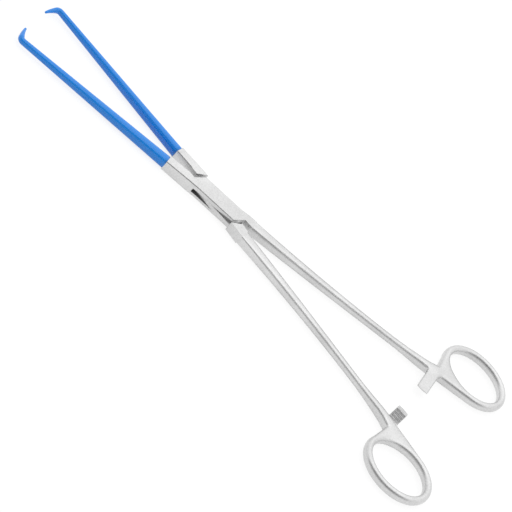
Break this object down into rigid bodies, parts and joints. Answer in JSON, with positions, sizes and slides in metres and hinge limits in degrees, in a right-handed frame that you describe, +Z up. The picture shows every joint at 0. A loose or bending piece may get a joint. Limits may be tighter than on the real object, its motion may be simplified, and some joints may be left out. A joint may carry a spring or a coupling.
{
  "type": "uterine tenaculum forceps",
  "caption": "Long single-tooth tenaculum forceps with a box lock, ratchet arms, finger rings and insulated blue jaws with hooked points.",
  "frame": {"origin": "middle of the outline seen from above, at the level of the lowest face, with the pair open as in the picture", "axes": "+X along the instrument from the hooks toward the finger rings, +Y toward the jaw of the tongue half, +Z up along the lock pin"},
  "size_m": [0.2522, 0.104, 0.0055],
  "materials": {
    "steel": "satin polished stainless steel",
    "blue_coat": "glossy blue insulating coating"
  },
  "bodies": {
    "box_side": {"box_half": "steel", "lock_pin": "steel", "box_jaw_coating": "blue_coat"},
    "tongue_side": {"tongue_half": "steel", "tongue_jaw_coating": "blue_coat"}
  },
  "joints": [
    {"name": "lock_hinge", "type": "hinge", "parent": "box_side", "child": "tongue_side", "pos_m": [-0.0192, 0, 0.00275], "axis": [0, 0, -1], "range_deg": [-8.2, 30]}
  ]
}
